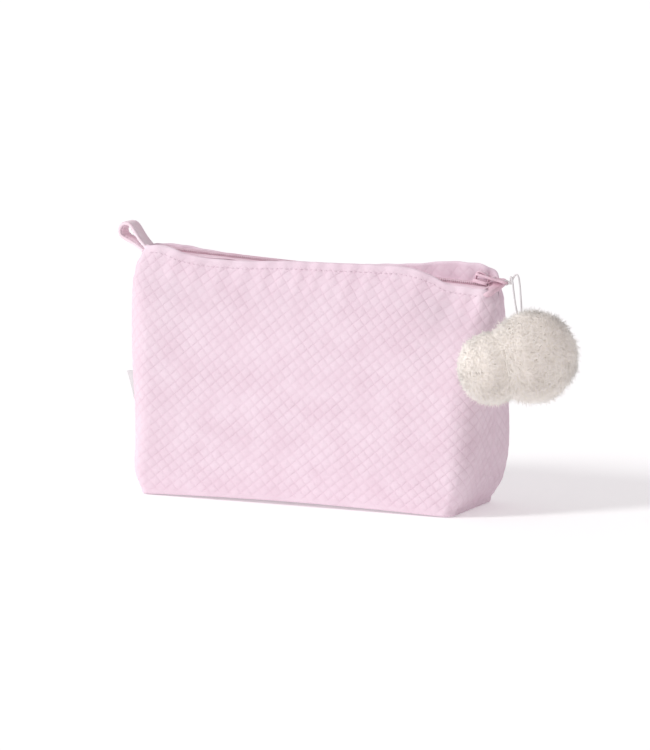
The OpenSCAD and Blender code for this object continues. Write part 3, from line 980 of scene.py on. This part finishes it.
applied(label, "SOLIDIFY", thickness=0.18 * MM, offset=0)
hand_over(label, "bag", "side_label")
print(f"the label is {(high[2] - low[2]) / MM:.0f} mm high")

# %% [markdown]
# ## The elastic cord
# A loop of thin white elastic is hitched through the hole in the pull tab and carries the pompom. Its
# two strands leave the hitch together, rise a little over the front edge of the bag, because elastic is
# springy, and bow apart before they sink into the fur. The first strand follows the route of the model's
# own cord, point for point, and the second bows out to the right of it.

# %% Cord and hitch
CORD_ROUTE = [(127.6, -1.6, 139.4), (128.2, -3.2, 140.6), (129, -5.5, 141.8), (130.2, -8, 142.8),
              (131.6, -11, 143.4), (133.2, -14, 143.4), (135, -17.5, 142.6), (137, -21.5, 141),
              (139.2, -26, 138.4), (141.6, -30.5, 135.2), (144, -35, 132), (146.6, -39.5, 129),
              (149.2, -44, 126.4), (151.6, -47.8, 124.2), (153.2, -50, 122.2), (154, -51, 120)]
CORD_DIAMETER = 1.2 * MM
KNOT = np.array([126.9, 0, 138.4]) * MM


def cord_strand(name, route, node=None):
    curve = bpy.data.curves.new(name, "CURVE")
    curve.dimensions, curve.bevel_depth, curve.bevel_resolution = "3D", CORD_DIAMETER / 2, 3
    curve.use_fill_caps = True
    spline = curve.splines.new("NURBS")
    spline.points.add(len(route) - 1)
    spline.points.foreach_set("co", [c for p in route for c in (*p, 1)])
    spline.use_endpoint_u, spline.order_u, spline.resolution_u = True, 4, 6
    curve.materials.append(elastic_white)
    strand = bpy.data.objects.new(name, curve)
    bpy.context.scene.collection.objects.link(strand)
    hand_over(strand, "pompom", node)
    return strand


route = np.array(CORD_ROUTE) * MM
along = np.linspace(0, 1, len(route))
bow = np.sin(np.pi * along)[:, None] ** 0.8 * np.array([3.6, 1.2, 2.4]) * MM
second_route = route + bow + np.array([0.4, -0.9, -0.3]) * MM
strands = [(cord_strand("elastic_near", route, "pom_cord"), route),
           (cord_strand("elastic_far", second_route), second_route)]
print("strands", " and ".join(f"{way_along(path)[-1] / MM:.0f}" for _, path in strands), "mm long")

# The hitch: a ring of elastic through the tab's hole, and the knot where the two strands leave it
q = full_turn(28)
ring_path = np.stack([HITCH_AT + 1.35 * MM * np.cos(q), 0.15 * MM * np.sin(2 * q), 1.35 * MM * np.sin(q)], 1)
ring_path = placed(np.concatenate([ring_path, ring_path[:2]]), ON_TAB)
q = np.linspace(0, 5 * np.pi, 60)
knot_path = KNOT + np.stack([0.75 * np.cos(q) + 0.12 * (q - 7), 0.62 * np.sin(q) * np.cos(q / 5),
                             0.7 * np.sin(q)], 1) * MM
hitch = new_mesh("elastic_hitch", *merge_parts([
    sweep(ring_path, round_section(0.34 * MM, 0.34 * MM, 2, 10)),
    sweep(knot_path, round_section(0.45 * MM, 0.45 * MM, 2, 10))]), elastic_white)
hand_over(hitch, "hitch", "cord_hitch")

# %% [markdown]
# ## The pompom
# A faux fur pompom is a disc of fur fabric gathered into a ball. Here it has slumped into two lobes with
# a crease between them, the smaller one in front. A particle system would leave nothing in an exported
# mesh, so every hair is a thin three-sided spike of its own. Hairs start on an even spiral over each
# lobe, lean and clump a little and sag under their weight. Their shading takes most of its direction
# from the lobe, which is what makes fur look soft and not spiky. Under them is a dense, lumpy pile.

# %% Hairs
POM = np.array([154, -56.3, 102]) * MM
BIG = POM + np.array([8.5, 3.9, 1.8]) * MM, np.array([27, 26, 28]) * MM       # centre and radii
SMALL = POM + np.array([-13, -5.5, -5]) * MM, np.array([21.5, 20.5, 22.5]) * MM
SPIKE = np.array([[3 * k + c, 3 * k + (c + 1) % 3, 3 * k + 3 + (c + 1) % 3, 3 * k + 3 + c]
                  for k in (0, 1) for c in range(3)])
SPIKE_TIP = np.array([[6, 7, 9], [7, 8, 9], [8, 6, 9]])


def fibonacci_ball(count):
    k = np.arange(count) + 0.5
    tilt, turn = np.arccos(1 - 2 * k / count), np.pi * (1 + 5 ** 0.5) * k
    return direction(tilt, turn)


def tufts(way):
    """Soft unevenness of the fur's reach in each direction."""
    x, y, z = np.moveaxis(way, -1, 0)
    return 1 + 0.014 * (np.sin(9 * x + 3 * z) + np.sin(11 * z - 5 * y) + np.sin(13 * y + 4 * x))


def buried(points, lobe, share):
    """Which points are inside a share of a lobe."""
    centre, radii = lobe
    return np.linalg.norm((points - centre) / radii, axis=-1) < share


def fur(name, lobe, other, count, seed, first=0.78, width=0.5 * MM):
    """Tapering hairs all over one lobe, but for those that would be buried in the other."""
    centre, radii = lobe
    draw = np.random.default_rng(seed)
    way = unit(fibonacci_ball(count) + draw.normal(0, 0.012, (count, 3)))
    way = way[~buried(centre + way * radii * 0.95, other, 0.8)]
    count = len(way)
    clumps = fibonacci_ball(700)
    nearest = [np.argmax(part @ clumps.T, axis=1) for part in np.array_split(way, 8)]
    gather = clumps[np.concatenate(nearest)] - way
    lean = draw.normal(0, 0.10, way.shape) + 0.08 * np.sin(way[:, [1, 2, 0]] * 5)
    side = unit(np.cross(way, draw.normal(0, 1, way.shape)))
    third = np.cross(way, side)
    reach = tufts(way) * (draw.uniform(0.88, 1.01, count) + 0.075 * (draw.random(count) < 0.12))
    points, along = np.zeros((count, 10, 3)), np.zeros((count, 10))
    shading = np.zeros((count, 10, 3))
    for k, (level, half) in enumerate(((0, 0.5), (0.4, 0.42), (0.75, 0.26), (1, 0))):
        bend = unit(way + (lean + gather * 0.15) * level ** 1.5)
        middle = centre + bend * radii * (first + (reach - first) * level)[:, None]
        middle[:, 2] -= 0.9 * MM * level ** 2
        for c in range(3 if k < 3 else 1):
            turn = 2 * math.pi * c / 3
            corner = math.cos(turn) * side + math.sin(turn) * third
            points[:, 3 * k + c] = middle + corner * half * width
            shading[:, 3 * k + c] = unit(way + 0.5 * lean + 0.15 * corner * (k < 3))
            along[:, 3 * k + c] = level
    start = np.arange(count)[:, None, None] * 10
    faces = (start + SPIKE).reshape(-1, 4).tolist() + (start + SPIKE_TIP).reshape(-1, 3).tolist()
    piece = new_mesh(name, points.reshape(-1, 3), faces, fur_hair)
    store(piece, {"along": along})
    piece.data.normals_split_custom_set_from_vertices(shading.reshape(-1, 3).tolist())
    hand_over(piece, "pompom")
    return len(faces)


# %% Pile, filling and fur
BALL_RINGS, BALL_STEPS = 90, 160


def ball(lobe, share):
    """A lobe, at a share of its size, as a grid of points with a fine lumpy surface."""
    centre, radii = lobe
    way = direction(*np.meshgrid(np.linspace(0.001, np.pi - 0.001, BALL_RINGS), full_turn(BALL_STEPS),
                                 indexing="ij"))
    lumps = 0.012 * np.sin(31 * way[..., 0]) * np.sin(29 * way[..., 1]) * np.sin(33 * way[..., 2])
    return centre + way * radii * (share * tufts(way) + lumps)[..., None]


ball_faces = grid_faces(BALL_RINGS, BALL_STEPS, wrap=True)[:, ::-1]
pile = [(ball(lobe, 0.86).reshape(-1, 3), ball_faces) for lobe in (BIG, SMALL)]
underfur = new_mesh("pompom_underfur", *merge_parts(pile), fur_hair)
store(underfur, {"along": np.full(len(underfur.data.vertices), 0.55)})
filling = grid_piece("pompom_filling", ball((POM, np.full(3, 15 * MM)), 1.0), wadding_fluff, wrap=True,
                     flip=True)
hand_over(filling, "pompom", "pom_stuffing")
hand_over(underfur, "pompom", "pom_fur")
hair_faces = (fur("pompom_fur_back", BIG, SMALL, 13000, 31)
              + fur("pompom_fur_long", BIG, SMALL, 13000, 32, 0.84, 0.38 * MM)
              + fur("pompom_fur_front", SMALL, BIG, 13000, 33))
print("fur:", hair_faces, "faces of hair")

# %% [markdown]
# ## Floor and light
# The bag stands on a plain white floor that runs far out on every side. A soft low sun from the front
# left shades the right end of the bag and lays a pale shadow behind it. A pale room fills the rest, a
# little darker on the right, and looks plain white where the floor ends, so no horizon shows.

# %% Floor
paper, tree, shader = new_material("floor_paper", 0.95)
grain = noise(tree, 40.0, 3.0)
tree.links.new(mix(tree, grain, (0.93, 0.93, 0.93, 1), (0.97, 0.97, 0.97, 1)), shader.inputs["Base Color"])
dial(shader, {"Emission Color": (1, 1, 1, 1), "Emission Strength": 0.23})
FLOOR_RADIUS = 30.0
rings = (0.001, 0.3, 1, 3, 10, FLOOR_RADIUS)
grid = np.array([[(r * math.cos(q), r * math.sin(q), 0) for q in full_turn(96)] for r in rings])
grid_piece("white_floor", grid, paper, wrap=True)
print(f"a floor {2 * FLOOR_RADIUS:.0f} m across")

# %% Sun and world
SUN_FROM = Vector((-0.72, -0.68, 0.58))
lamp = bpy.data.lights.new("soft_sun", "SUN")
lamp.energy, lamp.angle, lamp.color = 1.55, math.radians(14), (0.98, 1, 0.99)
holder = bpy.data.objects.new("soft_sun", lamp)
bpy.context.scene.collection.objects.link(holder)
holder.rotation_euler = SUN_FROM.to_track_quat("Z", "Y").to_euler()
world = bpy.data.worlds.new("white_room")
world.use_nodes = True
tree = world.node_tree
around = add(tree, "ShaderNodeTexCoord").outputs["Generated"]
sideways = add(tree, "ShaderNodeSeparateXYZ", {0: around}).outputs[0]
darker_right = ramp(tree, sideways, -0.6, 0.8, 0.78, 0.4)
room = tree.nodes["Background"]
dial(room, {"Color": (1, 0.955, 0.98, 1)})
tree.links.new(darker_right, room.inputs["Strength"])
seen = add(tree, "ShaderNodeBackground", {"Color": (1, 1, 1, 1), "Strength": 1.0})
to_camera = add(tree, "ShaderNodeLightPath").outputs["Is Camera Ray"]
seen_or_lit = add(tree, "ShaderNodeMixShader", {0: to_camera, 1: room.outputs[0], 2: seen.outputs[0]})
tree.links.new(seen_or_lit.outputs[0], tree.nodes["World Output"].inputs["Surface"])
bpy.context.scene.world = world
bpy.context.scene.view_settings.view_transform = "Standard"
print("one sun and a white room")
